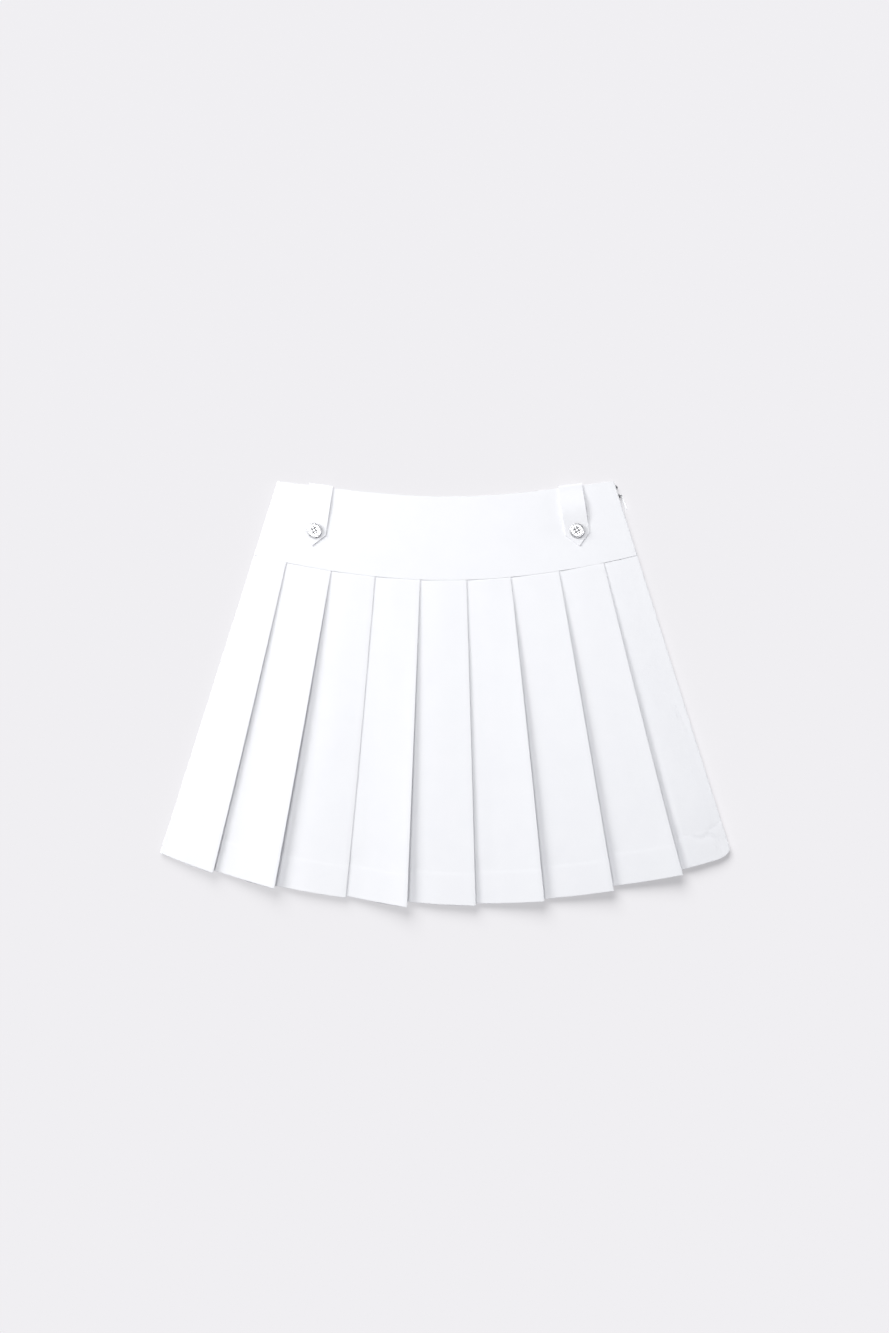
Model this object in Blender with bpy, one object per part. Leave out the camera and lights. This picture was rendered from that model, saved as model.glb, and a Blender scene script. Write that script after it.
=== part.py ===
"""A short pleated skirt laid flat: a curved yoke, two pleated panels, button tabs and a side zip.

Units are metres, +Z is up, and the skirt lies on its back at z = 0 with the hem towards -Y. Left and
right are those of someone who looks down at the front. Every edge of the laid skirt is nearly an arc
about one point beyond the waist, the fan centre, so a place on the cloth is a radius from that centre,
an angle from centre front (negative to the left) and a height.
"""

import math

import bmesh
import bpy

MM = 0.001

# Outline of the laid skirt
HALF_ANGLE = 17.5  # degrees, centre front to each side edge
WAIST_RADIUS = 540 * MM  # fan centre to the waist edge, at centre front
WAIST_CORNER_DROP = 10 * MM  # the waist edge lies this much further out at the sides
YOKE_DEPTH = 82 * MM
SEAM_CORNER_DROP = 4.4 * MM
SKIRT_LENGTH = 400 * MM  # waist edge to hem at centre front
HEM_RADIUS = WAIST_RADIUS + SKIRT_LENGTH
LEFT_CORNER_DROP = -7 * MM  # the hem at the left side edge, from HEM_RADIUS
RIGHT_CORNER_DROP = -12 * MM  # the right corner is rounded off
ROUNDING_ANGLE = 1.0  # degrees of hem that the rounded corner takes
BACK_HEM_DROP = -5.5 * MM  # the back lies this much shorter and steps half as far, behind the front
BACK_HEM_STEP = 0.5

# Cloth
CLOTH = 1.0 * MM  # wall of the pleated panels
YOKE_WALL = 2.0 * MM  # two layers and interfacing
TAB_WALL = 1.5 * MM
SEAM_GAP = 0.3 * MM  # between any two pieces that are sewn or lie together

# Pleats: the folds of one panel, from left to right
PLEAT_COLUMNS = ("at_seam", "at_hem", "hem_drop", "next_drop", "lift_middle", "lift_hem")
# angle of the fold at the yoke seam and at the hem in degrees, the hem's reach past HEM_RADIUS at the
# fold and where the next pleat starts in mm, and how far the fold stands up half way down and at the
# hem in mm
PLEATS = [
    dict(zip(PLEAT_COLUMNS, row))
    for row in (
        (-14.5, -14.1, -2.6, -5.1, 2.6, 3.6),
        (-10.4, -10.3, -0.7, -3.1, 5.8, 8.0),
        (-6.4, -6.0, -1.2, -3.1, 0.0, 0.0),
        (-2.3, -2.3, 3.3, -1.6, 4.2, 7.0),
        (1.9, 1.8, 1.8, -0.2, 0.9, 1.2),
        (5.9, 5.9, 2.3, 0.3, 4.6, 5.6),
        (10.3, 10.1, 2.3, -2.6, 4.4, 4.4),
        (14.4, 14.3, 1.1, -3.6, 2.1, 2.8),
    )
]
UNDERLAY_ANGLE = 1.75  # degrees from a pleat's outer fold back to its hidden inner fold
LAYER_STEP = CLOTH + 0.35 * MM  # from one folded layer to the next
STACK = 2 * LAYER_STEP  # a closed pleat has three layers
RISE_END = 0.5  # most of a pleat's width over which it climbs onto its own underlay
CLIMB_STATIONS = (0.2, 0.44, 0.72, 1.0)  # shares of that climb
TOP_STATIONS = (0.35, 0.7)  # and over the rest of the width
LIFT_FROM = 0.25  # a fold's lift starts at this share of its pleat's width
LIFT_CURVE = 1.6  # and grows with this power of the way from there
FOLD_STEPS = 4
LENGTH_STATIONS = (0.0, 0.12, 0.24, 0.34, 0.55, 0.78, 1.0)  # shares of yoke seam to hem

# Heights above the surface that the skirt lies on
BACK_INNER = CLOTH / 2 + STACK  # middle of the back panel's innermost layer
FRONT_INNER = BACK_INNER + CLOTH + SEAM_GAP  # middle of the front panel's innermost layer
SIDE_SEAM_HEIGHT = 3.1 * MM
SIDE_RISE = 0.8 * MM  # the front panel's height over FRONT_INNER beside the side edges
SIDE_TURN = 2.2 * MM  # width of the turn from flat cloth to the side seam
TURN_STEPS = 3
TURN_FOOT = 0.3  # share of the turn's rise that stands straight up from the seam
YOKE_WAIST_HEIGHT = 6.2 * MM  # the front yoke's outer face at the waist
YOKE_SEAM_HEIGHT = FRONT_INNER + STACK + CLOTH / 2  # and at the yoke seam, flush with the folds
YOKE_SIDE_ANGLE = 13.5  # degrees from centre front where the yoke starts to dip to the sides
YOKE_STATIONS = 25
YOKE_ROWS = 5

# Side zip, hook and eye, in the right side seam
ZIP_SEAM_GAP = 1.5 * MM  # between front and back edges along the zip
ZIP_END = 150 * MM  # below the waist edge
ZIP_END_SHARE = 0.24  # the LENGTH_STATIONS row that the zip ends at
TAPE_TOP, TAPE_WALL, TAPE_WIDTH, TAPE_INSET = 18.6 * MM, 0.9 * MM, 11.4 * MM, 0.6 * MM
SLIDER_AT, SLIDER_LENGTH, SLIDER_WIDTH = 15.4 * MM, 5.6 * MM, 4.4 * MM
SLIDER_PLATE, SLIDER_NECK = 0.7 * MM, 0.9 * MM
NECK_REACH = 4.6 * MM  # of the slider's neck and of the hook and eye, in from the side edge
PIN_RADIUS, EYE_HOLE_RADIUS, EYE_RADIUS = 0.5 * MM, 0.85 * MM, 1.4 * MM
EYE_HEIGHT, LUG_WALL = 2.4 * MM, 0.7 * MM
PULL_WALL, PULL_LENGTH, PULL_WIDTH = 1.5 * MM, 16.5 * MM, 5.2 * MM
PULL_LEAN = 4.0  # degrees that the pull hangs out from the side edge
PIN_OUT = 2 * SEAM_GAP + SLIDER_PLATE + EYE_RADIUS  # of the pin from the side edge
HOOK_AT, HOOK_WIDTH, HOOK_WALL = 6.6 * MM, 2.0 * MM, 0.5 * MM
WIRE_RADIUS, WIRE_SPAN, WIRE_OUT = 0.4 * MM, 4.8 * MM, 1.3 * MM

# Tabs and buttons
TAB_ANGLE, TAB_TILT = 13.0, 8.7  # degrees: place on the waist, and lean from straight down
TAB_WIDTH, TAB_LENGTH, TAB_POINT = 23.5 * MM, 59 * MM, 12 * MM
TAB_INSIDE = 12 * MM  # the tab goes over the waist edge and this far down inside
TAB_BOW = {"left": 0.8 * MM, "right": 2.2 * MM}  # how far each tab stands off the yoke
BUTTON_AT = 43.5 * MM  # down the tab
BUTTON_PROFILE = (  # radius and height over the tab, from the crown to the shank's foot, in mm
    (0.0, 3.6), (4.4, 3.5), (5.1, 3.1), (5.6, 3.6), (6.6, 3.7), (7.2, 3.1),
    (7.0, 2.2), (5.0, 1.6), (1.7, 1.5), (1.6, 0.0), (0.0, 0.0),
)  # fmt: skip
BUTTON_SIDES = 20


def rounded_corner(angle, drop):
    """The hem's reach with the right corner rounded off."""
    into = max(0.0, (angle - (HALF_ANGLE - ROUNDING_ANGLE)) / ROUNDING_ANGLE)
    return drop + (RIGHT_CORNER_DROP - drop) * (1 - math.sqrt(max(0.0, 1 - into * into)))


# The fan centre stands where it brings the middle of the laid skirt over the origin.
EDGE_SINE = math.sin(math.radians(HALF_ANGLE))
WALL_ANGLE = math.degrees(CLOTH / 2 / HEM_RADIUS)
RIGHT_REACH = rounded_corner(HALF_ANGLE - WALL_ANGLE, PLEATS[-1]["next_drop"] * MM)
LOWEST_FOLD = max(
    (HEM_RADIUS + row["hem_drop"] * MM) * math.cos(math.radians(row["at_hem"])) for row in PLEATS
)
WAIST_CORNER_RADIUS = WAIST_RADIUS + WAIST_CORNER_DROP
HIGHEST_CORNER = WAIST_CORNER_RADIUS * math.cos(math.radians(HALF_ANGLE))
FAN_X = (LEFT_CORNER_DROP - RIGHT_REACH) * EDGE_SINE / 2
FAN_Y = (LOWEST_FOLD + HIGHEST_CORNER) / 2

COTTON = ("white cotton", (0.93, 0.93, 0.95), 0.85, 0.0)
SILVER = ("silver metal", (0.78, 0.78, 0.80), 0.28, 1.0)
DARK_METAL = ("dark metal", (0.10, 0.10, 0.11), 0.40, 1.0)
WHITE_LACQUER = ("white lacquer", (0.92, 0.92, 0.93), 0.35, 0.0)
ZIP_WHITE = ("zip tape", (0.90, 0.90, 0.92), 0.70, 0.0)


def material(finish):
    """The Principled material of a finish, made once."""
    name, colour, roughness, metallic = finish
    found = bpy.data.materials.get(name)
    if found:
        return found
    made = bpy.data.materials.new(name)
    made.use_nodes = True
    shader = made.node_tree.nodes["Principled BSDF"]
    shader.inputs["Base Color"].default_value = (*colour, 1.0)
    shader.inputs["Roughness"].default_value = roughness
    shader.inputs["Metallic"].default_value = metallic
    return made


def add_object(name, shape, finish, parent=None, location=(0, 0, 0)):
    """Turns a bmesh into a named object in the scene."""
    mesh = bpy.data.meshes.new(name)
    shape.to_mesh(mesh)
    shape.free()
    mesh.materials.append(material(finish))
    made = bpy.data.objects.new(name, mesh)
    bpy.context.scene.collection.objects.link(made)
    made.parent = parent
    made.location = location
    return made


def smooth_step(share):
    share = min(max(share, 0.0), 1.0)
    return share * share * (3 - 2 * share)


def fan_point(radius, angle, height):
    """A place on the laid cloth, from its radius, its angle in degrees and its height."""
    turn = math.radians(angle)
    return (FAN_X + radius * math.sin(turn), FAN_Y - radius * math.cos(turn), height)


def waist_radius(angle):
    return WAIST_RADIUS + WAIST_CORNER_DROP * abs(angle / HALF_ANGLE) ** 3


def seam_radius(angle):
    return WAIST_RADIUS + YOKE_DEPTH + SEAM_CORNER_DROP * abs(angle / HALF_ANGLE) ** 3


def side_gap(angle, share):
    """Half the gap between front and back at a side edge. The zip keeps the right one apart."""
    on_zip = angle > 0 and share <= ZIP_END_SHARE
    return (ZIP_SEAM_GAP if on_zip else SEAM_GAP) / 2


def side_turn(from_side, rise, wall):
    """How the cloth turns over at a side edge, as (distance in from the edge, share of the rise)."""
    turn = [(wall / 2, 0.0)]
    for step in range(TURN_STEPS + 1):
        angle = math.radians(90) * step / TURN_STEPS
        climbed = TURN_FOOT + (1 - TURN_FOOT) * math.sin(angle)
        turn.append((wall / 2 + SIDE_TURN * (1 - math.cos(angle)), rise * climbed))
    return turn if from_side == "left" else turn[::-1]


# ---- pleated panels ------------------------------------------------------------------------------


def pleat_stations(rise_end):
    """Where a pleat's face has stations, as (share of its width, share of its climb)."""
    climbing = [(rise_end * share, smooth_step(share)) for share in CLIMB_STATIONS]
    return climbing + [(rise_end + (1 - rise_end) * share, 1.0) for share in TOP_STATIONS]


def fold_lift(row, share):
    """How far a fold stands up at a share of seam to hem: the parabola through its two lifts."""
    lift = row["lift_middle"] * 4 * share * (1 - share) + row["lift_hem"] * share * (2 * share - 1)
    return max(0.0, lift) * MM


def pleat_section(share, lifted, side_height, edge_height):
    """One cut across a pleated panel, at a share of the way from the yoke seam to the hem.

    Gives (angle, height, hem drop) for each station, from the left side edge to the right one. The
    height is counted outwards from the innermost layer. Each pleat is a knife pleat: over the
    previous fold's underlay, round its own outer fold, back under itself and round the inner fold.
    """
    radius = seam_radius(0) + share * (HEM_RADIUS - seam_radius(0))

    def degrees(distance):
        return math.degrees(distance / radius)

    half = LAYER_STEP / 2
    section = []
    for inward, rise in side_turn("left", side_height["left"] - edge_height["left"], CLOTH):
        angle = -HALF_ANGLE + degrees(inward)
        section.append((angle, edge_height["left"] + rise, LEFT_CORNER_DROP))
    start_angle, start_drop = section[-1][0], LEFT_CORNER_DROP
    start_height = side_height["left"]
    for row in PLEATS:
        fold = row["at_seam"] + share * (row["at_hem"] - row["at_seam"])
        fold_drop, next_drop = row["hem_drop"] * MM, row["next_drop"] * MM
        top = STACK + (fold_lift(row, share) if lifted else 0.0)
        width = fold - start_angle
        over_inner_fold = 1 - (UNDERLAY_ANGLE + degrees(half + CLOTH)) / width
        for across, climb in pleat_stations(min(RISE_END, over_inner_fold)):
            ramp = max(0.0, (across - LIFT_FROM) / (1 - LIFT_FROM)) ** LIFT_CURVE
            height = start_height + (STACK - start_height) * climb + (top - STACK) * ramp
            drop = start_drop + (fold_drop - start_drop) * across
            section.append((start_angle + width * across, height, drop))
        outer_centre = fold - degrees(half + CLOTH / 2)
        inner_centre = fold - UNDERLAY_ANGLE
        for step in range(FOLD_STEPS + 1):
            turn = math.pi * step / FOLD_STEPS
            angle = outer_centre + degrees(half * math.sin(turn))
            section.append((angle, top - half + half * math.cos(turn), fold_drop))
        for step in range(FOLD_STEPS + 1):
            turn = math.pi * step / FOLD_STEPS
            angle = inner_centre - degrees(half * math.sin(turn))
            section.append((angle, half + half * math.cos(turn), (fold_drop + next_drop) / 2))
        section.append((fold, 0.0, next_drop))
        start_angle, start_drop, start_height = fold, next_drop, 0.0
    end = side_turn("right", side_height["right"] - edge_height["right"], CLOTH)
    width = HALF_ANGLE - degrees(end[0][0]) - start_angle
    for across, climb in pleat_stations(RISE_END):
        section.append((start_angle + width * across, side_height["right"] * climb, start_drop))
    for inward, rise in end:
        angle = HALF_ANGLE - degrees(inward)
        section.append((angle, edge_height["right"] + rise, start_drop))
    return section


def lay_grid(columns, rows, place):
    """A grid of cloth whose vertex in a column and row lies at place(column, row)."""
    cloth = bmesh.new()
    bmesh.ops.create_grid(cloth, x_segments=columns - 1, y_segments=rows - 1, size=0.5)
    for vert in cloth.verts:
        column = round((vert.co.x + 0.5) * (columns - 1))
        row = round((vert.co.y + 0.5) * (rows - 1))
        vert.co = place(column, row)
    return cloth


def thicken(cloth_object, wall):
    """Gives a laid sheet its thickness, half to each side."""
    solidify = cloth_object.modifiers.new("wall", "SOLIDIFY")
    solidify.thickness = wall
    solidify.offset = 0.0
    solidify.use_even_offset = True
    solidify.use_quality_normals = True


def add_pleated_panel(name, faces_up):
    """The front panel lies face up on the back one, which is the same cut turned over."""
    sections = []
    for share in LENGTH_STATIONS:
        gaps = {"left": side_gap(-1, share), "right": side_gap(1, share)}
        if faces_up:
            edge = {side: SIDE_SEAM_HEIGHT + gap - FRONT_INNER for side, gap in gaps.items()}
            flat = {"left": SIDE_RISE, "right": SIDE_RISE}
        else:  # turned over, so its own right side lies at the left
            gaps = {"left": gaps["right"], "right": gaps["left"]}
            edge = {side: BACK_INNER - SIDE_SEAM_HEIGHT + gap for side, gap in gaps.items()}
            flat = {"left": STACK, "right": STACK}
        sections.append(pleat_section(share, faces_up, flat, edge))

    def place(column, row):
        angle, outwards, drop = sections[row][column]
        if faces_up:
            height = FRONT_INNER + outwards
        else:
            height, angle = BACK_INNER - outwards, -angle
            drop = BACK_HEM_DROP + BACK_HEM_STEP * drop
        drop = rounded_corner(angle, drop)
        top = seam_radius(angle) + SEAM_GAP / 2
        radius = top + (HEM_RADIUS + drop - top) * LENGTH_STATIONS[row]
        return fan_point(radius, angle, height)

    cloth = lay_grid(len(sections[0]), len(LENGTH_STATIONS), place)
    thicken(add_object(name, cloth, COTTON), CLOTH)


# ---- yoke ----------------------------------------------------------------------------------------


def front_yoke_height(angle, share):
    """Height of the front yoke's outer face, at a share of the way from the waist to its seam."""
    to_side = smooth_step((abs(angle) - YOKE_SIDE_ANGLE) / (HALF_ANGLE - YOKE_SIDE_ANGLE))
    seam = YOKE_SEAM_HEIGHT + (YOKE_WAIST_HEIGHT - YOKE_SEAM_HEIGHT) * to_side
    return YOKE_WAIST_HEIGHT + (seam - YOKE_WAIST_HEIGHT) * share


def yoke_section(share, faces_up):
    """One cut across a yoke, as (angle, height of its middle), from the left edge to the right."""
    radius = WAIST_RADIUS + YOKE_DEPTH * share
    section = []

    def middle(angle):
        if faces_up:
            return front_yoke_height(angle, share) - YOKE_WALL / 2
        return YOKE_WALL / 2

    for side, sign in (("left", -1), ("right", 1)):
        gap = side_gap(sign, 0.0)
        edge = SIDE_SEAM_HEIGHT + (gap if faces_up else -gap)
        ends = []
        for inward, rise in side_turn(side, middle(HALF_ANGLE) - edge, YOKE_WALL):
            ends.append((sign * (HALF_ANGLE - math.degrees(inward / radius)), edge + rise))
        section.append(ends)
    left, right = section
    first, last = left[-1][0], right[0][0]
    between = []
    for station in range(1, YOKE_STATIONS):
        angle = first + (last - first) * station / YOKE_STATIONS
        between.append((angle, middle(angle)))
    return left + between + right


def add_yoke(name, faces_up):
    shares = [row / (YOKE_ROWS - 1) for row in range(YOKE_ROWS)]
    sections = [yoke_section(share, faces_up) for share in shares]

    def place(column, row):
        angle, height = sections[row][column]
        bottom = seam_radius(angle) - SEAM_GAP / 2
        radius = waist_radius(angle) + (bottom - waist_radius(angle)) * shares[row]
        return fan_point(radius, angle, height)

    cloth = lay_grid(len(sections[0]), YOKE_ROWS, place)
    thicken(add_object(name, cloth, COTTON), YOKE_WALL)


# ---- tabs and buttons ----------------------------------------------------------------------------


def tab_point(side, across, down, lift):
    """A place over a tab's stretch of the front yoke: across the tab, down from the waist edge and
    lifted off the middle of the yoke's wall."""
    sign = -1 if side == "left" else 1
    angle = sign * TAB_ANGLE + math.degrees(across / waist_radius(TAB_ANGLE))
    edge_x, edge_y, _ = fan_point(waist_radius(angle), angle, 0.0)
    lean = math.radians(sign * TAB_TILT)
    x, y = edge_x + down * math.sin(lean), edge_y - down * math.cos(lean)
    radius = math.hypot(x - FAN_X, FAN_Y - y)
    here = math.degrees(math.atan2(x - FAN_X, FAN_Y - y))
    share = min(max((radius - waist_radius(here)) / YOKE_DEPTH, 0.0), 1.0)
    return (x, y, front_yoke_height(here, share) - YOKE_WALL / 2 + lift)


def add_tab(side):
    """A strap that starts inside the waist, goes over its edge and ends in a point on the yoke."""
    stand_off = YOKE_WALL / 2 + SEAM_GAP + TAB_WALL / 2
    path = [(TAB_INSIDE * share, -stand_off) for share in (1.0, 0.5, 0.0)]
    for step in range(1, FOLD_STEPS):
        turn = math.pi * step / FOLD_STEPS
        path.append((-stand_off * math.sin(turn), -stand_off * math.cos(turn)))
    rows_down = [0.0, 0.1, 0.22, 0.36, 0.5, 0.65, 0.82, 1.0]
    width_shares = (-1.0, -0.5, 0.0, 0.5, 1.0)

    def place(column, row):
        across = width_shares[column] * TAB_WIDTH / 2
        if row < len(path):
            down, lift = path[row]
            return tab_point(side, across, down, lift)
        share = rows_down[row - len(path)]
        length = TAB_LENGTH - TAB_POINT * abs(width_shares[column])
        down = length * share
        bow = TAB_BOW[side] * math.sin(math.pi * min(down / BUTTON_AT, 1.0)) ** 2
        return tab_point(side, across, down, stand_off + bow)

    cloth = lay_grid(len(width_shares), len(path) + len(rows_down), place)
    thicken(add_object(f"tab_{side}", cloth, COTTON), TAB_WALL)


def add_button(side):
    """A turned metal button on a shank, seated on its tab."""
    button = bmesh.new()
    profile = [button.verts.new((radius * MM, 0.0, height * MM)) for radius, height in BUTTON_PROFILE]
    edges = [button.edges.new(pair) for pair in zip(profile, profile[1:])]
    bmesh.ops.spin(
        button, geom=profile + edges, cent=(0, 0, 0), axis=(0, 0, 1), dvec=(0, 0, 0),
        angle=math.tau, steps=BUTTON_SIDES, use_merge=True,
    )  # fmt: skip
    bmesh.ops.remove_doubles(button, verts=button.verts, dist=0.001 * MM)
    bmesh.ops.recalc_face_normals(button, faces=button.faces)
    seat = YOKE_WALL / 2 + SEAM_GAP + TAB_WALL + SEAM_GAP
    made = add_object(f"button_{side}", button, SILVER, location=tab_point(side, 0.0, BUTTON_AT, seat))
    made.data.shade_smooth()
    made.data.set_sharp_from_angle(angle=math.radians(35))


# ---- side closure --------------------------------------------------------------------------------
# These pieces are children of one empty at the right waist corner. There +X points out from the side
# edge, +Y runs up along it, and z = 0 is the height of the side seam.


def add_closure_frame():
    frame = bpy.data.objects.new("side_closure", None)
    frame.location = fan_point(WAIST_CORNER_RADIUS, HALF_ANGLE, SIDE_SEAM_HEIGHT)
    frame.rotation_euler = (0, 0, math.radians(HALF_ANGLE))
    bpy.context.scene.collection.objects.link(frame)
    return frame


def box_shape(low, high):
    box = bmesh.new()
    bmesh.ops.create_cube(box, size=1.0)
    size = [b - a for a, b in zip(low, high)]
    middle = [(a + b) / 2 for a, b in zip(low, high)]
    bmesh.ops.scale(box, vec=size, verts=box.verts)
    bmesh.ops.translate(box, vec=middle, verts=box.verts)
    return box


def disc_shape(radius, low, high, sides=16):
    disc = bmesh.new()
    bmesh.ops.create_cone(
        disc, cap_ends=True, segments=sides, radius1=radius, radius2=radius, depth=high - low
    )
    bmesh.ops.translate(disc, vec=(0, 0, (low + high) / 2), verts=disc.verts)
    return disc


def combine(body, helper, operation):
    """Joins a helper shape to a body or cuts it away. The helper stays out of the model."""
    helper.hide_render = True
    helper.display_type = "WIRE"
    boolean = body.modifiers.new(helper.name, "BOOLEAN")
    boolean.operation = operation
    boolean.object = helper


def add_zip_tape(frame):
    """The closed zip's tape, between the front and back edges."""
    low = (-TAPE_INSET - TAPE_WIDTH, -ZIP_END, -TAPE_WALL / 2)
    high = (-TAPE_INSET, -TAPE_TOP, TAPE_WALL / 2)
    add_object("zip_tape", box_shape(low, high), ZIP_WHITE, frame)


def add_slider(frame):
    """The zip's slider: a plate outside the seam, a neck through it, and two lugs with a pin."""
    at = (0.0, -SLIDER_AT, 0.0)
    half_length, half_width = SLIDER_LENGTH / 2, SLIDER_WIDTH / 2
    plate = box_shape(
        (SEAM_GAP, -half_length, -half_width), (SEAM_GAP + SLIDER_PLATE, half_length, half_width)
    )
    slider = add_object("zip_slider", plate, DARK_METAL, frame, at)
    neck = box_shape(
        (-NECK_REACH, -half_length, -SLIDER_NECK / 2),
        (SEAM_GAP + SLIDER_PLATE / 2, half_length, SLIDER_NECK / 2),
    )
    combine(slider, add_object("slider_neck", neck, DARK_METAL, frame, at), "UNION")
    inner = EYE_HEIGHT / 2 + SEAM_GAP
    for name, low, high in (("upper", inner, inner + LUG_WALL), ("lower", -inner - LUG_WALL, -inner)):
        lug = box_shape((SEAM_GAP, -EYE_RADIUS, low), (PIN_OUT + PIN_RADIUS * 2, EYE_RADIUS, high))
        combine(slider, add_object(f"{name}_lug", lug, DARK_METAL, frame, at), "UNION")
    pin_end = inner + LUG_WALL / 2
    pin = add_object(
        "slider_pin", disc_shape(PIN_RADIUS, -pin_end, pin_end), DARK_METAL, frame,
        (PIN_OUT, -SLIDER_AT, 0.0),
    )  # fmt: skip
    combine(slider, pin, "UNION")


def add_pull(frame):
    """The teardrop tab on the slider's pin. It swings about the pin, which stands along Z."""
    at = (PIN_OUT, -SLIDER_AT, 0.0)
    neck, half_width = EYE_HEIGHT / 2, PULL_WIDTH / 2
    outline = [(-EYE_RADIUS * 0.85, neck), (-EYE_RADIUS - 1.1 * MM, neck)]
    outline.append((-EYE_RADIUS - 3.0 * MM, half_width * 0.86))
    round_centre = -PULL_LENGTH + half_width
    for step in range(7):
        turn = math.pi * step / 6
        outline.append((round_centre - half_width * math.sin(turn), half_width * math.cos(turn)))
    outline += [(y, -z) for y, z in reversed(outline[:3])]
    blade = bmesh.new()
    corners = [blade.verts.new((-PULL_WALL / 2, y, z)) for y, z in outline]
    face = blade.faces.new(corners)
    grown = bmesh.ops.extrude_face_region(blade, geom=[face])
    moved = [item for item in grown["geom"] if isinstance(item, bmesh.types.BMVert)]
    bmesh.ops.translate(blade, vec=(PULL_WALL, 0, 0), verts=moved)
    bmesh.ops.recalc_face_normals(blade, faces=blade.faces)
    pull = add_object("zip_pull", blade, WHITE_LACQUER, frame, at)
    pull.rotation_euler = (0, 0, math.radians(PULL_LEAN))
    ring = disc_shape(EYE_RADIUS, -EYE_HEIGHT / 2, EYE_HEIGHT / 2, 20)
    combine(pull, add_object("pull_ring", ring, WHITE_LACQUER, frame, at), "UNION")
    bore = disc_shape(EYE_HOLE_RADIUS, -EYE_HEIGHT, EYE_HEIGHT, 20)
    combine(pull, add_object("pull_bore", bore, WHITE_LACQUER, frame, at), "DIFFERENCE")


def add_eye(frame):
    """The wire loop that the hook holds, as a staple lying flat across the side seam."""
    curve = bpy.data.curves.new("eye", "CURVE")
    curve.dimensions = "3D"
    curve.bevel_depth = WIRE_RADIUS
    curve.bevel_resolution = 1
    curve.use_fill_caps = True
    top, bottom, bend = -HOOK_AT + WIRE_SPAN / 2, -HOOK_AT - WIRE_SPAN / 2, 0.8 * MM
    route = [(-NECK_REACH, top), (WIRE_OUT - bend, top), (WIRE_OUT - bend * 0.3, top - bend * 0.3)]
    route += [(WIRE_OUT, top - bend), (WIRE_OUT, bottom + bend)]
    route += [(WIRE_OUT - bend * 0.3, bottom + bend * 0.3), (WIRE_OUT - bend, bottom)]
    route.append((-NECK_REACH, bottom))
    line = curve.splines.new("POLY")
    line.points.add(len(route) - 1)
    for point, (x, y) in zip(line.points, route):
        point.co = (x, y, 0.0, 1.0)
    curve.materials.append(material(DARK_METAL))
    eye = bpy.data.objects.new("eye", curve)
    bpy.context.scene.collection.objects.link(eye)
    eye.parent = frame


def add_hook(frame):
    """The flat hook: out through the seam, over the eye's wire and back under it."""
    curl = WIRE_RADIUS + SEAM_GAP + HOOK_WALL / 2
    route = [(-NECK_REACH, 0.0), (0.0, 0.0)]
    for degrees in (150, 110, 70, 30, -10, -50, -90, -115):
        turn = math.radians(degrees)
        route.append((WIRE_OUT + curl * math.cos(turn), curl * math.sin(turn)))

    def place(column, row):
        out, up = route[row]
        return (out, -HOOK_AT + HOOK_WIDTH * (column - 0.5), up)

    hook = add_object("hook", lay_grid(2, len(route), place), DARK_METAL, frame)
    thicken(hook, HOOK_WALL)


def main():
    for old in list(bpy.data.objects):
        bpy.data.objects.remove(old)
    add_yoke("front_yoke", faces_up=True)
    add_yoke("back_yoke", faces_up=False)
    add_pleated_panel("front_skirt", faces_up=True)
    add_pleated_panel("back_skirt", faces_up=False)
    for side in ("left", "right"):
        add_tab(side)
        add_button(side)
    frame = add_closure_frame()
    add_zip_tape(frame)
    add_slider(frame)
    add_pull(frame)
    add_eye(frame)
    add_hook(frame)


main()
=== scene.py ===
import math

import bmesh
import bpy
from mathutils import Matrix, Vector


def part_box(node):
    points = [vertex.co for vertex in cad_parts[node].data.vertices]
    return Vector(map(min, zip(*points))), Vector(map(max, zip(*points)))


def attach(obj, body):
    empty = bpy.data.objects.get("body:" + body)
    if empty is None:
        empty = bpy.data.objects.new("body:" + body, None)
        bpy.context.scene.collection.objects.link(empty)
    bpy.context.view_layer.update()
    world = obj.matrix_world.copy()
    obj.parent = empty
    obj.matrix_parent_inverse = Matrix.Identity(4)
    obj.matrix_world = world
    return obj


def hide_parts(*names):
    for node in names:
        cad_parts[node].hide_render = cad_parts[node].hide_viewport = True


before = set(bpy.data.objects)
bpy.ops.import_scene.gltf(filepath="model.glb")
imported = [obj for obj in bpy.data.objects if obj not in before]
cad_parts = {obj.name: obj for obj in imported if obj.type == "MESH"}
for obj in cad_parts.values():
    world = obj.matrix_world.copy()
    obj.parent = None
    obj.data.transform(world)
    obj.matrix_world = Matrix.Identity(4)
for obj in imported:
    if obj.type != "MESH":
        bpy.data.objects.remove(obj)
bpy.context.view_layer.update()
print("frame loaded")

# the camera looks straight down on the laid skirt, from far off, with the waist at the top
view = {
    "frameHeight": 1.3122,  # metres of surface from the bottom to the top of the picture
    "distance": 3.4,
    "right": -0.0007,       # the skirt lies a little below the middle of the picture
    "up": 0.0270,
    "sensor": 36.0,
    "farthest": 20.0,
}


def makeCamera():
    data = bpy.data.cameras.new("camera")
    data.sensor_fit = "VERTICAL"
    data.sensor_height = view["sensor"]
    data.lens = view["sensor"] * view["distance"] / view["frameHeight"]
    data.clip_end = view["farthest"]
    camera = bpy.data.objects.new("camera", data)
    camera.location = (view["right"], view["up"], view["distance"])
    bpy.context.scene.collection.objects.link(camera)
    bpy.context.scene.camera = camera


makeCamera()


def mix(a, b, share):
    return a + (b - a) * share


def smoothStep(share):
    share = min(max(share, 0.0), 1.0)
    return share * share * (3 - 2 * share)


def throughThree(first, middle, last, share):
    # the parabola through three values at shares 0, 0.5 and 1
    return (first * (1 - share) * (1 - 2 * share) + middle * 4 * share * (1 - share)
            + last * share * (2 * share - 1))


def spread(first, last, count):
    return [mix(first, last, step / count) for step in range(count + 1)]


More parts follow.
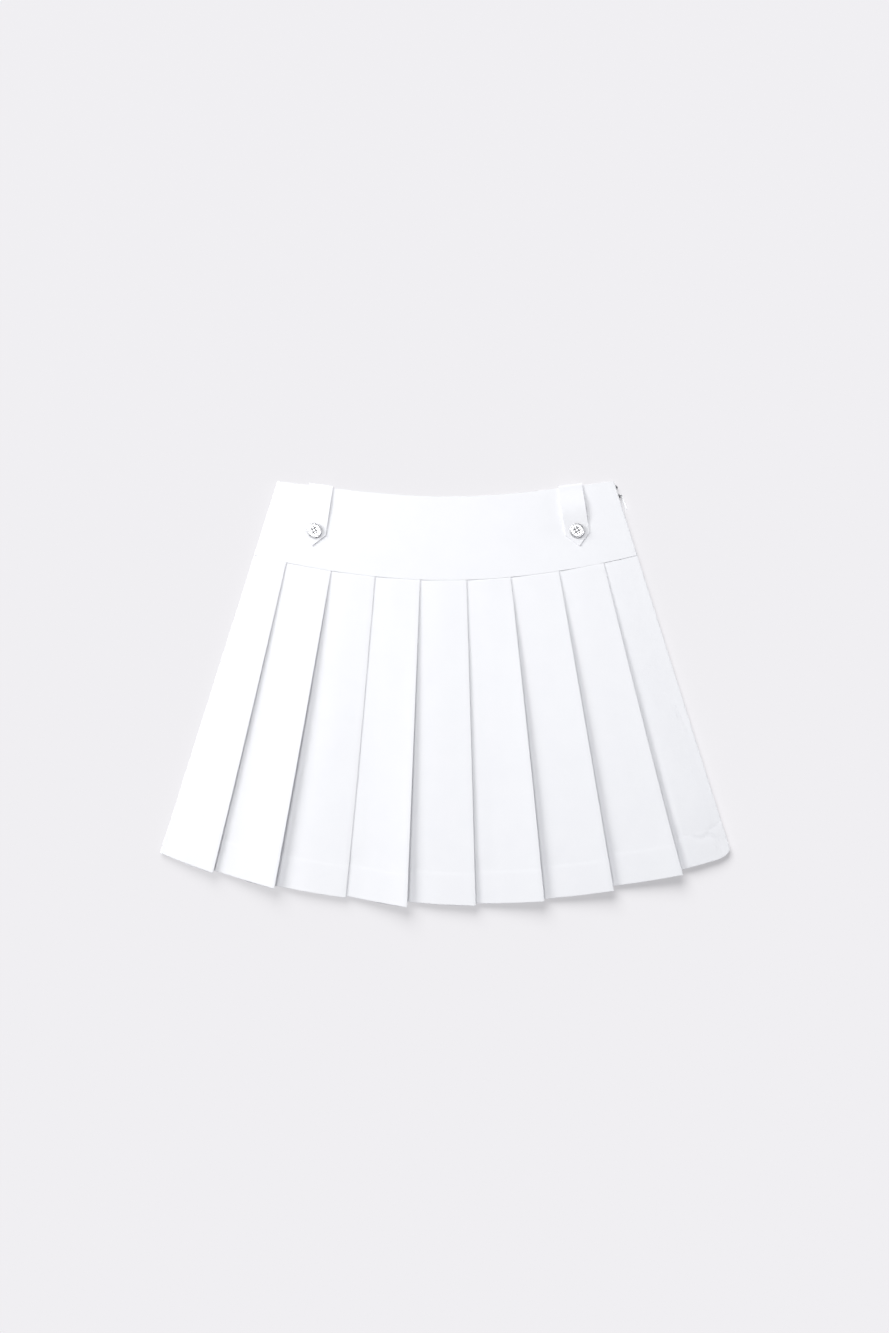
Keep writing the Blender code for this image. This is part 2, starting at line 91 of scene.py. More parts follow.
def clothGrid(columns, rows, place, faceUp=True):
    # a sheet whose vertex in a column and a row lies at place(column, row), with the cut's own UVs in metres
    cloth = bmesh.new()
    bmesh.ops.create_grid(cloth, x_segments=columns - 1, y_segments=rows - 1, size=0.5)
    uvLayer = cloth.loops.layers.uv.new("cut")
    onCut = {}
    for vert in cloth.verts:
        column = round((vert.co.x + 0.5) * (columns - 1))
        row = round((vert.co.y + 0.5) * (rows - 1))
        vert.co, onCut[vert] = place(column, row)
    for face in cloth.faces:
        face.smooth = True
        for loop in face.loops:
            loop[uvLayer].uv = onCut[loop.vert]
    if faceUp:
        bmesh.ops.reverse_faces(cloth, faces=cloth.faces)
    return cloth


def addPiece(name, shape, material, node=None, body="skirt"):
    mesh = bpy.data.meshes.new(name)
    shape.to_mesh(mesh)
    shape.free()
    mesh.materials.append(material)
    piece = bpy.data.objects.new(name, mesh)
    bpy.context.scene.collection.objects.link(piece)
    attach(piece, body)
    if node:
        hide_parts(node)
    return piece


def solidify(piece, wall):
    modifier = piece.modifiers.new("wall", "SOLIDIFY")
    modifier.thickness = wall
    modifier.offset = 0.0
    modifier.use_even_offset = True
    modifier.use_quality_normals = True


def roundRim(piece, width, segments=3, sharpest=50.0):
    modifier = piece.modifiers.new("rim", "BEVEL")
    modifier.width = width
    modifier.segments = segments
    modifier.limit_method = "ANGLE"
    modifier.angle_limit = math.radians(sharpest)


def feed(tree, socket, value):
    # a number or a colour is set on the socket, and another node's output is linked to it
    if isinstance(value, bpy.types.NodeSocket):
        tree.links.new(value, socket)
    else:
        socket.default_value = value


def mathNode(tree, operation, *values):
    node = tree.nodes.new("ShaderNodeMath")
    node.operation = operation
    for socket, value in zip(node.inputs, values):
        feed(tree, socket, value)
    return node.outputs[0]


def noiseNode(tree, place, scale, detail):
    noise = tree.nodes.new("ShaderNodeTexNoise")
    noise.inputs["Detail"].default_value = detail
    feed(tree, noise.inputs["Vector"], place)
    feed(tree, noise.inputs["Scale"], scale)
    return noise.outputs["Fac"]


def rangeNode(tree, value, low, high, ends="To"):
    node = tree.nodes.new("ShaderNodeMapRange")
    node.inputs[ends + " Min"].default_value = low
    node.inputs[ends + " Max"].default_value = high
    tree.links.new(value, node.inputs["Value"])
    return node.outputs["Result"]


def blendColours(tree, socket, share, first, second):
    blend = tree.nodes.new("ShaderNodeMix")
    blend.data_type = "RGBA"
    blend.inputs["A"].default_value = (*first, 1.0)
    blend.inputs["B"].default_value = (*second, 1.0)
    tree.links.new(share, blend.inputs["Factor"])
    tree.links.new(blend.outputs["Result"], socket)


def newPattern(name, inputs):
    # a node group that gives a height for bumps and a shade between a dark and a light colour
    group = bpy.data.node_groups.new(name, "ShaderNodeTree")
    for socketName, kind in inputs:
        group.interface.new_socket(name=socketName, in_out="INPUT", socket_type="NodeSocket" + kind)
    for socketName in ("Height", "Shade"):
        group.interface.new_socket(name=socketName, in_out="OUTPUT", socket_type="NodeSocketFloat")
    return group, group.nodes.new("NodeGroupInput").outputs


def finishPattern(group, height, patches, patchShare=0.6):
    # the shade is mostly wide soft patches, with some of the fine pattern
    given = group.nodes.new("NodeGroupOutput")
    shade = mathNode(group, "ADD", mathNode(group, "MULTIPLY", height, 1 - patchShare),
                     mathNode(group, "MULTIPLY", patches, patchShare))
    group.links.new(height, given.inputs["Height"])
    group.links.new(shade, given.inputs["Shade"])
    return group


twill = {
    "slubScale": 420.0,
    "slubDetail": 3.0,
    "slubShift": 6.0,       # how far the slubs shift a wale, in radians
    "weft": 0.35,           # weight of the weft threads against the wales
    "contrast": 0.37,
    "patchScale": 38.0,
    "patchDetail": 2.0,
}


def makeTwillGroup():
    # fine diagonal wales crossed by weft threads, with slubs that make them uneven
    group, given = newPattern("twillWeave", (("Cut", "Vector"), ("Thread", "Float"), ("Slub", "Float")))
    onCut, apart = given["Cut"], given["Thread"]
    parts = group.nodes.new("ShaderNodeSeparateXYZ")
    group.links.new(onCut, parts.inputs[0])
    slub = mathNode(group, "SUBTRACT", noiseNode(group, onCut, twill["slubScale"], twill["slubDetail"]), 0.5)
    shift = mathNode(group, "MULTIPLY", mathNode(group, "MULTIPLY", slub, given["Slub"]), twill["slubShift"])
    along = mathNode(group, "ADD", parts.outputs["X"], parts.outputs["Y"])
    waleTurn = mathNode(group, "DIVIDE", along, apart)
    wale = mathNode(group, "SINE", mathNode(group, "MULTIPLY_ADD", waleTurn, math.tau, shift))
    weftTurn = mathNode(group, "DIVIDE", parts.outputs["Y"], apart)
    weft = mathNode(group, "SINE", mathNode(group, "MULTIPLY", weftTurn, math.tau * 2))
    woven = mathNode(group, "MULTIPLY_ADD", weft, twill["weft"], wale)
    height = mathNode(group, "MULTIPLY_ADD", woven, twill["contrast"], 0.5)
    return finishPattern(group, height, noiseNode(group, onCut, twill["patchScale"], twill["patchDetail"]))


fineWear = {"grainDetail": 4.0, "cloudScale": 160.0, "cloudDetail": 2.0}


def makeWearGroup():
    # soft clouds and fine grain, for small hard parts
    group, given = newPattern("fineWear", (("Place", "Vector"), ("Grain", "Float")))
    grain = noiseNode(group, given["Place"], given["Grain"], fineWear["grainDetail"])
    clouds = noiseNode(group, given["Place"], fineWear["cloudScale"], fineWear["cloudDetail"])
    return finishPattern(group, grain, clouds)


def newMaterial(name, colour, roughness, metallic=0.0, **sockets):
    material = bpy.data.materials.new(name)
    material.use_nodes = True
    shader = material.node_tree.nodes["Principled BSDF"]
    shader.inputs["Base Color"].default_value = (*colour, 1.0)
    shader.inputs["Roughness"].default_value = roughness
    shader.inputs["Metallic"].default_value = metallic
    for socketName, value in sockets.items():
        shader.inputs[socketName.replace("_", " ")].default_value = value
    return material, material.node_tree, shader


def addPattern(tree, group, place, **values):
    pattern = tree.nodes.new("ShaderNodeGroup")
    pattern.node_tree = group
    tree.links.new(place, pattern.inputs[0])
    for socketName, value in values.items():
        pattern.inputs[socketName].default_value = value
    return pattern.outputs


def addWear(tree, grain):
    place = tree.nodes.new("ShaderNodeTexCoord").outputs["Object"]
    return addPattern(tree, wearGroup, place, Grain=grain)


def showPattern(tree, shader, pattern, look):
    blendColours(tree, shader.inputs["Base Color"], pattern["Shade"], look["dark"], look["light"])
    bump = tree.nodes.new("ShaderNodeBump")
    bump.inputs["Distance"].default_value = look["relief"]
    bump.inputs["Strength"].default_value = look["bump"]
    tree.links.new(pattern["Height"], bump.inputs["Height"])
    tree.links.new(bump.outputs["Normal"], shader.inputs["Normal"])


twillGroup = makeTwillGroup()
wearGroup = makeWearGroup()

cotton = {
    "light": (0.915, 0.915, 0.930),
    "dark": (0.865, 0.868, 0.892),
    "rough": 0.86,
    "sheen": 0.12,
    "sheenRough": 0.45,
    "specular": 0.25,
    "thread": 0.00062,      # width of a thread, in metres
    "slub": 0.35,
    "relief": 0.00007,
    "bump": 0.8,
}
thread = {
    "light": (0.935, 0.935, 0.95),
    "dark": (0.88, 0.885, 0.905),
    "rough": (0.55, 0.7),
    "metallic": 0.0,
    "grain": 3000.0,
    "relief": 0.00005,
    "bump": 0.6,
}


def clothMaterial(name, look):
    material, tree, shader = newMaterial(
        name, look["light"], look["rough"], Sheen_Weight=look["sheen"], Sheen_Roughness=look["sheenRough"],
        Specular_IOR_Level=look["specular"])
    flat = tree.nodes.new("ShaderNodeUVMap")
    flat.uv_map = "cut"
    weave = addPattern(tree, twillGroup, flat.outputs["UV"], Thread=look["thread"], Slub=look["slub"])
    showPattern(tree, shader, weave, look)
    return material


def wornMaterial(name, look, **sockets):
    material, tree, shader = newMaterial(name, look["light"], look["rough"][0], look["metallic"], **sockets)
    worn = addWear(tree, look["grain"])
    showPattern(tree, shader, worn, look)
    tree.links.new(rangeNode(tree, worn["Shade"], *look["rough"]), shader.inputs["Roughness"])
    return material


cottonTwill = clothMaterial("cottonTwill", cotton)
threadCotton = wornMaterial("thread", thread, Sheen_Weight=0.1)
print("cloth material made")

# every edge of the laid skirt is nearly an arc about one centre, which lies beyond the waist: a place is a
# radius, an angle from centre front (negative to the left) and a height
yokeLow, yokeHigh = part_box("front_yoke")
fan = {
    "halfAngle": 17.5,
    "waist": 0.540,
    "waistDrop": 0.010,
    "yokeDepth": 0.082,
    "seamDrop": 0.0044,
    "hem": 0.940,
    "sideSeam": 0.0031,     # height at which front and back are sewn, beside the yoke
    "lowSeam": 0.0027,      # and further down, where the zip no longer keeps them up
    "lowFrom": 0.1,         # it sinks from this share of the way from yoke seam to hem
    "lowAfter": 0.4,
    "rollUnder": 50.0,      # degrees that the cloth rolls back under itself at a side
    "underSteps": 3,
    "sideSteps": (0.33, 0.67),
    "overSteps": 6,
    "zipGap": 0.0015,       # between front and back at the zip
    "seamGap": 0.0001,
    "zipShare": 0.24,       # the zip ends this share of the way from yoke seam to hem
}
fan["x"] = (yokeLow.x + yokeHigh.x) / 2
fan["y"] = yokeHigh.y + (fan["waist"] + fan["waistDrop"]) * math.cos(math.radians(fan["halfAngle"]))


def fanPoint(radius, angle, height):
    turn = math.radians(angle)
    return Vector((fan["x"] + radius * math.sin(turn), fan["y"] - radius * math.cos(turn), height))


def waistRadius(angle):
    return fan["waist"] + fan["waistDrop"] * abs(angle / fan["halfAngle"]) ** 3


def seamRadius(angle):
    return fan["waist"] + fan["yokeDepth"] + fan["seamDrop"] * abs(angle / fan["halfAngle"]) ** 3


def sideGap(side, share):
    onZip = side == "right" and share <= fan["zipShare"]
    return (fan["zipGap"] if onZip else fan["seamGap"]) / 2


def sideSeamHeight(share):
    sunk = smoothStep((share - fan["lowFrom"]) / (fan["lowAfter"] - fan["lowFrom"]))
    return mix(fan["sideSeam"], fan["lowSeam"], sunk)


def sideStations(rise, wall, turn):
    # how the cloth rolls over at a side edge and back under: (metres in from the edge, height over the seam)
    under = math.radians(fan["rollUnder"])
    low, high = turn * math.sin(under), abs(rise) - turn
    stations = []
    for angle in spread(-under, 0.0, fan["underSteps"]):
        stations.append((wall / 2 + turn * (1 - math.cos(angle)), low + turn * math.sin(angle)))
    for share in fan["sideSteps"]:
        stations.append((wall / 2, mix(low, high, share)))
    for angle in spread(0.0, math.pi / 2, fan["overSteps"]):
        stations.append((wall / 2 + turn * (1 - math.cos(angle)), high + turn * math.sin(angle)))
    return [(inward, math.copysign(height, rise)) for inward, height in stations]


# soft ridges and troughs pressed into the cloth as it lies: the place of each in degrees and metres from the
# fan centre, its lean from the radius in degrees, its length, its width to the left and to the right and its
# height in metres
creaseColumns = ("angle", "radius", "lean", "length", "left", "right", "height")
creases = [
    dict(zip(creaseColumns, row))
    for row in (
        (17.0, 0.793, 9, 0.065, 0.0018, 0.0040, -0.0005),
        (15.8, 0.909, 67, 0.024, 0.0040, 0.0018, -0.0005),
        (16.6, 0.906, -58, 0.031, 0.0018, 0.0055, -0.0004),
        (16.7, 0.912, 52, 0.022, 0.0040, 0.0018, -0.0005),
        (16.9, 0.923, 7, 0.031, 0.0018, 0.0050, -0.0005),
        (16.7, 0.890, 4, 0.130, 0.0160, 0.0100, 0.0012),
        (15.0, 0.880, 0, 0.300, 0.0060, 0.0300, 0.0016),
        (11.0, 0.655, 16, 0.028, 0.0040, 0.0020, -0.0004),
        (12.6, 0.850, 20, 0.090, 0.0110, 0.0110, 0.0002),
        (8.4, 0.800, -12, 0.130, 0.0130, 0.0130, 0.0002),
        (4.0, 0.880, 10, 0.100, 0.0120, 0.0120, 0.0002),
        (-0.2, 0.760, -6, 0.140, 0.0130, 0.0130, 0.0002),
        (-4.1, 0.850, 8, 0.120, 0.0120, 0.0120, 0.0002),
        (-8.0, 0.780, 10, 0.120, 0.0130, 0.0130, 0.0002),
        (-12.2, 0.860, -14, 0.100, 0.0110, 0.0110, 0.0002),
        (-16.2, 0.800, -10, 0.120, 0.0110, 0.0110, 0.0002),
        (-15.9, 0.890, 35, 0.060, 0.0070, 0.0070, 0.0003),
        (13.5, 0.590, 70, 0.050, 0.0080, 0.0080, 0.0003),
        (6.5, 0.575, 80, 0.110, 0.0140, 0.0140, 0.0002),
        (-6.0, 0.600, 95, 0.120, 0.0130, 0.0130, 0.0002),
        (-14.8, 0.585, 40, 0.045, 0.0080, 0.0080, 0.0002),
    )
]


def creaseHeight(radius, angle):
    total = 0.0
    for crease in creases:
        sideways = radius * math.radians(angle - crease["angle"])
        outwards = radius - crease["radius"]
        lean = math.radians(crease["lean"])
        along = outwards * math.cos(lean) + sideways * math.sin(lean)
        across = sideways * math.cos(lean) - outwards * math.sin(lean)
        width = crease["left"] if across < 0 else crease["right"]
        if abs(along) < crease["length"] / 2 and abs(across) < width * 3:
            taper = math.cos(math.pi * along / crease["length"]) ** 2
            total += crease["height"] * taper * math.exp(-((across / width) ** 2))
    return total


# each fold's angle at the yoke seam, half-way and at the hem, the hem's reach on the fold and beside it, and
# how far the fold lifts off the pleat under it
pleatColumns = ("seam", "middle", "hem", "foldReach", "nextReach", "liftMiddle", "liftHem")
pleats = [
    dict(zip(pleatColumns, row))
    for row in (
        (-14.5, -14.2, -14.1, -0.0026, -0.0051, 0.0026, 0.0036),
        (-10.4, -10.3, -10.3, -0.0007, -0.0031, 0.0058, 0.0073),
        (-6.4, -6.1, -6.0, -0.0012, -0.0031, 0.0000, 0.0000),
        (-2.3, -2.3, -2.3, 0.0033, -0.0016, 0.0042, 0.0070),
        (1.9, 1.85, 1.8, 0.0018, -0.0002, 0.0017, 0.0026),
        (5.9, 5.95, 5.9, 0.0019, -0.0002, 0.0046, 0.0056),
        (10.3, 10.2, 10.1, 0.0011, -0.0034, 0.0044, 0.0044),
        (14.4, 14.30, 14.33, 0.0002, -0.0047, 0.0030, 0.0049),
    )
]
pleatedPanel = {
    "wall": 0.00036,
    "underlay": 1.75,           # degrees from an outer fold back to its inner fold
    "foldTop": 0.0072,          # height of the middle of a closed pleat's top layer
    "step": 0.00050,            # from one folded layer to the next
    "stepHem": 0.00082,         # and where the hem makes them double
    "hemFrom": 0.84,            # they thicken from this share of the way down to the next
    "hemAfter": 0.90,
    "leftReach": -0.007,
    "rightReach": -0.0125,
    "roundAngle": 1.0,
    "sideRise": 0.0022,         # how far the front lies over the side seam
    "sideTurn": 0.00045,        # radius that the cloth turns down to that seam with
    "riseEnd": 0.5,             # share of a pleat's width that it climbs over the underlay in
    "liftFrom": 0.25,           # a lifted pleat rises from this share of its width
    "liftCurve": 1.6,
    "backReach": -0.0055,
    "backStep": 0.5,
    "backCreases": 0.6,
    "backHemRamp": 0.05,
    "hemDepth": 0.032,
    "hemOffset": 0.00019,       # half the distance between the hem's two layers
    "hemRamp": 0.003,
    "hemTurns": (45, 90, 135),
    "seamTuck": 0.0003,         # the cloth turns in at the yoke seam
    "tuckLength": 0.0012,
    "creaseFrom": 0.02,         # creases begin this far below the seam
    "climbSteps": 10,
    "topSteps": 6,
    "foldSteps": 7,
    "backSteps": (0.33, 0.67),
    "lastRise": 0.95,
    "lastSteps": (40, 2),       # the pleat at the right edge has the most creases
    "rowSpacing": 0.0047,
    "fineSpacing": 0.0016,
    "creasedRows": (0.118, 0.172),  # where finer rows hold the creases beside the right edge
    "seamRows": (0.0, 0.0003, 0.0007, 0.0012, 0.0020, 0.0034, 0.006),
    "aboveHem": (0.014, 0.002),     # finer rows again, this far above the top of the hem
    "hemTopRows": (-0.001, 0.0, 0.001, 0.002, 0.003, 0.005),
    "hemRows": (0.004, 0.0015, 0.0006, 0.0),
    "insideRows": (0.0, 0.0006, 0.003, 0.008, 0.016, 0.024, 0.0305, 0.0314),
}


def pleatStations(riseEnd, climbSteps, topSteps):
    climbing = [(riseEnd * share, smoothStep(share)) for share in spread(0, 1, climbSteps)[1:]]
    flat = [(mix(riseEnd, 1.0, share), 1.0) for share in spread(0, 1, topSteps)[1:-1]]
    return climbing + flat


def rowRadius(share):
    # of a row of stations, from yoke seam to hem
    return mix(seamRadius(0), fan["hem"], share)


def layerStep(share):
    panel = pleatedPanel
    doubled = smoothStep((share - panel["hemFrom"]) / (panel["hemAfter"] - panel["hemFrom"]))
    return mix(panel["step"], panel["stepHem"], doubled)


def pleatSection(share, front):
    # one cut across a panel, as (angle, height, hem reach) stations from its left edge to its right one;
    # every pleat goes over the last one's underlay, round its outer fold, back and round its inner fold
    panel = pleatedPanel
    perMetre = math.degrees(1 / rowRadius(share))
    step = layerStep(share)
    half = step / 2
    top = panel["foldTop"]
    valley = top - 2 * step
    gap = {side: sideGap(side, share) for side in ("left", "right")}
    seam = sideSeamHeight(share)
    if front:
        side = {"left": seam + panel["sideRise"], "right": seam + panel["sideRise"]}
        edge = {name: seam + gap[name] for name in gap}
    else:
        # turned over, its own left edge is the zip side
        side = {"left": top, "right": top}
        outer = panel["wall"] / 2
        edge = {"left": top - (seam - gap["right"] - outer), "right": top - (seam - gap["left"] - outer)}
    section = []
    for inward, rise in sideStations(side["left"] - edge["left"], panel["wall"], panel["sideTurn"]):
        section.append((-fan["halfAngle"] + inward * perMetre, edge["left"] + rise, panel["leftReach"]))
    startAngle, startReach, startHeight = section[-1][0], panel["leftReach"], side["left"]
    for pleat in pleats:
        fold = throughThree(pleat["seam"], pleat["middle"], pleat["hem"], share)
        lift = throughThree(0.0, pleat["liftMiddle"], pleat["liftHem"], share) if front else 0.0
        lift = max(lift, 0.0)
        width = fold - startAngle
        overInner = 1 - (panel["underlay"] + (half + panel["wall"]) * perMetre) / width
        riseEnd = overInner if pleat is pleats[0] else min(panel["riseEnd"], overInner)
        for across, climb in pleatStations(riseEnd, panel["climbSteps"], panel["topSteps"]):
            ramp = max(0.0, (across - panel["liftFrom"]) / (1 - panel["liftFrom"])) ** panel["liftCurve"]
            height = mix(startHeight, top, climb) + lift * ramp
            reach = mix(startReach, pleat["foldReach"], across)
            section.append((startAngle + width * across, height, reach))
        outerCentre = fold - (half + panel["wall"] / 2) * perMetre
        innerCentre = fold - panel["underlay"]
        innerReach = (pleat["foldReach"] + pleat["nextReach"]) / 2
        for turn in spread(0.0, math.pi, panel["foldSteps"]):
            angle = outerCentre + half * math.sin(turn) * perMetre
            section.append((angle, top + lift - half + half * math.cos(turn), pleat["foldReach"]))
        for back in panel["backSteps"]:
            height = mix(top + lift - step, valley + step, back)
            reach = mix(pleat["foldReach"], innerReach, back)
            section.append((mix(outerCentre, innerCentre, back), height, reach))
        for turn in spread(0.0, math.pi, panel["foldSteps"]):
            angle = innerCentre - half * math.sin(turn) * perMetre
            section.append((angle, valley + half + half * math.cos(turn), innerReach))
        section.append((mix(innerCentre, fold, 0.5), valley, pleat["nextReach"]))
        section.append((fold, valley, pleat["nextReach"]))
        startAngle, startReach, startHeight = fold, pleat["nextReach"], valley
    ending = sideStations(side["right"] - edge["right"], panel["wall"], panel["sideTurn"])[::-1]
    width = fan["halfAngle"] - ending[0][0] * perMetre - startAngle
    for across, climb in pleatStations(panel["lastRise"], *panel["lastSteps"]):
        section.append((startAngle + width * across, mix(valley, side["right"], climb), startReach))
    for inward, rise in ending:
        section.append((fan["halfAngle"] - inward * perMetre, edge["right"] + rise, startReach))
    return section


def sectionNormals(section, radius):
    # outward directions across a section, as (sideways, up)
    points = [(math.radians(angle) * radius, height) for angle, height, _ in section]
    normals = []
    for index in range(len(points)):
        before = points[max(index - 1, 0)]
        after = points[min(index + 1, len(points) - 1)]
        run, rise = after[0] - before[0], after[1] - before[1]
        length = math.hypot(run, rise) or 1.0
        normals.append((-rise / length, run / length))
    return normals


def cutAngles(section, radius):
    # the angle of each station on the flat cut, from the cloth's length along the section
    total, angles = 0.0, [0.0]
    for (a, h, _), (b, g, _) in zip(section, section[1:]):
        total += math.hypot(math.radians(b - a) * radius, g - h)
        angles.append(total / radius)
    return [angle - total / radius / 2 for angle in angles]


def hemRows():
    # rows from yoke seam to hem, round the hem's fold and up inside it:
    # (share of seam to hem, metres past the hem line, offset to the cloth's outer side, metres on the cut)
    panel = pleatedPanel
    length = fan["hem"] - seamRadius(0)
    offset = panel["hemOffset"]
    hemTop = length - panel["hemDepth"]
    fromSeam = [*panel["seamRows"]]
    stops = (fromSeam[-1], *panel["creasedRows"], *(hemTop - above for above in panel["aboveHem"]))
    for first, last, spacing in zip(stops, stops[1:], ("row", "fine", "row", "fine")):
        fromSeam += spread(first, last, round((last - first) / panel[spacing + "Spacing"]))[1:]
    fromSeam += [hemTop + past for past in panel["hemTopRows"]]
    first, last = fromSeam[-1], length - panel["hemRows"][0]
    fromSeam += spread(first, last, round((last - first) / panel["fineSpacing"]))[1:-1]
    fromSeam += [length - before for before in panel["hemRows"]]
    rows = []
    for distance in fromSeam:
        doubled = smoothStep((distance - hemTop) / panel["hemRamp"])
        rows.append((distance / length, 0.0, offset * doubled, distance))
    for turn in panel["hemTurns"]:
        angle = math.radians(turn)
        rows.append((1.0, offset * math.sin(angle), offset * math.cos(angle), length + offset * angle))
    for inside in panel["insideRows"]:
        rows.append(((length - inside) / length, 0.0, -offset, length + inside + math.pi * offset))
    return rows


def clothRadius(angle, reach, share):
    # the true radius, from the curved yoke seam to the stepped hem with its rounded right corner
    panel = pleatedPanel
    into = max(0.0, (angle - (fan["halfAngle"] - panel["roundAngle"])) / panel["roundAngle"])
    reach = mix(reach, panel["rightReach"], 1 - math.sqrt(max(0.0, 1 - into * into)))
    return mix(seamRadius(angle) + fan["seamGap"] / 2, fan["hem"] + reach, share)


def makePleatedPanel(name, node, front):
    panel = pleatedPanel
    rows = hemRows()
    sections = {}
    for share, _, _, _ in rows:
        if share not in sections:
            section, radius = pleatSection(share, front), rowRadius(share)
            sections[share] = section, sectionNormals(section, radius), cutAngles(section, radius)

    def place(column, row):
        share, past, offset, onCut = rows[row]
        section, normals, angles = sections[share]
        angle, height, reach = section[column]
        sideways, up = normals[column]
        angle += math.degrees(offset * sideways / rowRadius(share))
        height += offset * up
        tuck = panel["seamTuck"] * (1 - smoothStep(onCut / panel["tuckLength"])) ** 2
        if not front:
            angle = -angle
            reach = panel["backReach"] + panel["backStep"] * reach
        radius = clothRadius(angle, reach, share) + past
        crease = creaseHeight(radius, angle) * smoothStep(onCut / panel["creaseFrom"])
        if front:
            height += crease - tuck
        else:
            lie = panel["hemOffset"] * smoothStep((share - panel["hemFrom"]) / panel["backHemRamp"])
            height = panel["wall"] / 2 + lie + (panel["foldTop"] - height) + tuck
            height += panel["backCreases"] * max(0.0, crease)
        flat = seamRadius(0) + onCut
        turn = angles[column]
        return fanPoint(radius, angle, height), (flat * math.sin(turn), -flat * math.cos(turn))

    cloth = clothGrid(len(sections[0.0][0]), len(rows), place, faceUp=front)
    piece = addPiece(name, cloth, cottonTwill, node)
    solidify(piece, panel["wall"])
    return piece


frontPleats = makePleatedPanel("frontPleats", "front_skirt", True)
backPleats = makePleatedPanel("backPleats", "back_skirt", False)
print("pleated panels made")


# the hem's blind stitches: a short bar of thread every few millimetres along the top of the turned-up hem
hemStitch = {
    "every": 0.0062,
    "length": 0.0011,
    "width": 0.00026,
    "sink": 0.00006,
    "below": 0.0008,        # under the top of the turned-up hem
    "margin": 0.3,          # degrees without stitches at either side
    "steepest": 0.0004,     # none where the layer on top steps down by more than this
}


def topOfSection(section, level=0.00002, beside=0.02, apart=0.01):
    # the stations of the layer that shows, from left to right
    shown = []
    for angle, height, reach in section:
        onTop = all(other[1] <= height + level for other in section if abs(other[0] - angle) < beside)
        if onTop and (not shown or angle > shown[-1][0] + apart):
            shown.append((angle, height, reach))
    return shown


def makeHemStitches():
    panel = pleatedPanel
    length = fan["hem"] - seamRadius(0)
    share = (length - panel["hemDepth"] + hemStitch["below"]) / length
    radius = rowRadius(share)
    shown = topOfSection(pleatSection(share, True))
    stitches = bmesh.new()
    step = math.degrees(hemStitch["every"] / radius)
    size = (hemStitch["length"], hemStitch["width"], hemStitch["width"], 1.0)
    angle = shown[0][0] + hemStitch["margin"]
    place = 0
    while angle < shown[-1][0] - hemStitch["margin"]:
        while shown[place + 1][0] < angle:
            place += 1
        left, right = shown[place], shown[place + 1]
        across = (angle - left[0]) / (right[0] - left[0])
        height, reach = mix(left[1], right[1], across), mix(left[2], right[2], across)
        if abs(right[1] - left[1]) < hemStitch["steepest"]:
            there = clothRadius(angle, reach, share)
            height += creaseHeight(there, angle) + panel["wall"] / 2 - hemStitch["sink"]
            slope = math.atan2(right[1] - left[1], math.radians(right[0] - left[0]) * radius)
            matrix = (Matrix.Translation(fanPoint(there, angle, height))
                      @ Matrix.Rotation(math.radians(angle), 4, "Z") @ Matrix.Rotation(-slope, 4, "Y")
                      @ Matrix.Diagonal(size))
            bmesh.ops.create_icosphere(stitches, subdivisions=2, radius=0.5, matrix=matrix)
        angle += step
    for face in stitches.faces:
        face.smooth = True
    addPiece("hemStitches", stitches, threadCotton)


makeHemStitches()
print("hem stitches made")


yoke = {
    "wall": 0.0011,
    "sideTurn": 0.00060,
    "waistHeight": 0.0062,      # the front's outer face at the waist
    "seamHeight": 0.0075,       # and at the pleat seam
    "dipAngle": 13.5,
    "rim": 0.0003,
    "columns": 120,
    "rows": 34,
    "endSpacing": 0.0004,       # the first row in from an edge, wider than the rim is rounded
    "creaseFrom": 0.15,         # no crease reaches nearer to an edge than this share of the depth
}


def yokeFace(angle, share):
    # height of the front yoke's outer face
    toSide = smoothStep((abs(angle) - yoke["dipAngle"]) / (fan["halfAngle"] - yoke["dipAngle"]))
    seam = mix(yoke["seamHeight"], yoke["waistHeight"], toSide)
    return mix(yoke["waistHeight"], seam, share)


def yokeSection(share, front):
    wall = yoke["wall"]
    perMetre = math.degrees(1 / (fan["waist"] + fan["yokeDepth"] * share))

    def middle(angle):
        return yokeFace(angle, share) - wall / 2 if front else wall / 2

    ends = {}
    for side, sign in (("left", -1), ("right", 1)):
        gap = sideGap(side, 0.0)
        edge = fan["sideSeam"] + (gap if front else -gap)
        stations = sideStations(middle(fan["halfAngle"]) - edge, wall, yoke["sideTurn"])
        ends[side] = [(sign * (fan["halfAngle"] - inward * perMetre), edge + rise)
                      for inward, rise in stations]
    first, last = ends["left"][-1][0], ends["right"][-1][0]
    between = [(angle, middle(angle)) for angle in spread(first, last, yoke["columns"])[1:-1]]
    return ends["left"] + between + ends["right"][::-1]


def makeYoke(name, node, front):
    near = yoke["endSpacing"] / fan["yokeDepth"]
    shares = [0.0, near] + spread(near, 1 - near, yoke["rows"])[1:] + [1.0]
    sections = [yokeSection(share, front) for share in shares]

    def place(column, row):
        angle, height = sections[row][column]
        share = shares[row]
        radius = mix(waistRadius(angle), seamRadius(angle) - fan["seamGap"] / 2, share)
        if front:
            clear = smoothStep(min(share, 1 - share) / yoke["creaseFrom"])
            height += creaseHeight(radius, angle) * clear
        flat = mix(fan["waist"], seamRadius(0), share)
        turn = math.radians(angle)
        return fanPoint(radius, angle, height), (flat * math.sin(turn), -flat * math.cos(turn))

    cloth = clothGrid(len(sections[0]), len(shares), place, faceUp=front)
    piece = addPiece(name, cloth, cottonTwill, node)
    solidify(piece, yoke["wall"])
    roundRim(piece, yoke["rim"])
    return piece


frontYoke = makeYoke("frontYoke", "front_yoke", True)
backYoke = makeYoke("backYoke", "back_yoke", False)
print("yokes made")


